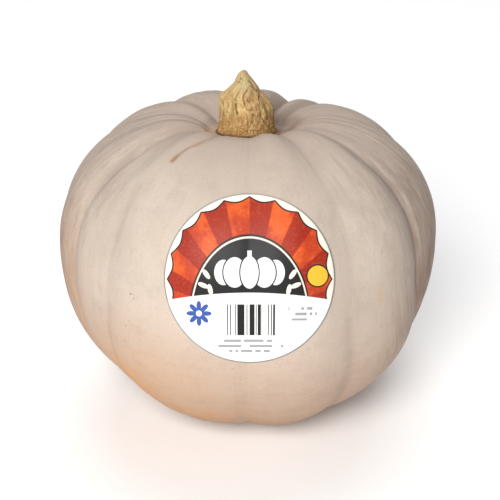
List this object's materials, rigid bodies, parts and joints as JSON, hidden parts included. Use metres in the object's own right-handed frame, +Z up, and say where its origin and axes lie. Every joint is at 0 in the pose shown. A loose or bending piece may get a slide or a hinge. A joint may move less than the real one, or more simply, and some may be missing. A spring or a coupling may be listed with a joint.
{
  "type": "ghost pumpkin",
  "caption": "Pale ribbed squash that rests on a flat foot, with a dried fluted stem stub in its crown and a round paper label on its front.",
  "frame": {"origin": "bottom centre of the part's box, on the plane that the fruit rests on", "axes": "+Z up along the fruit toward its stem, -Y toward the front with the label, +X toward the viewer's right"},
  "size_m": [0.2182, 0.2187, 0.1997],
  "materials": {
    "skin": "matte pale pinkish cream rind",
    "cork": "dry fibrous straw-brown stem",
    "paper": "smooth printed paper label"
  },
  "bodies": {
    "root": {"fruit": "skin", "stem": "cork", "label": "paper"}
  },
  "joints": []
}
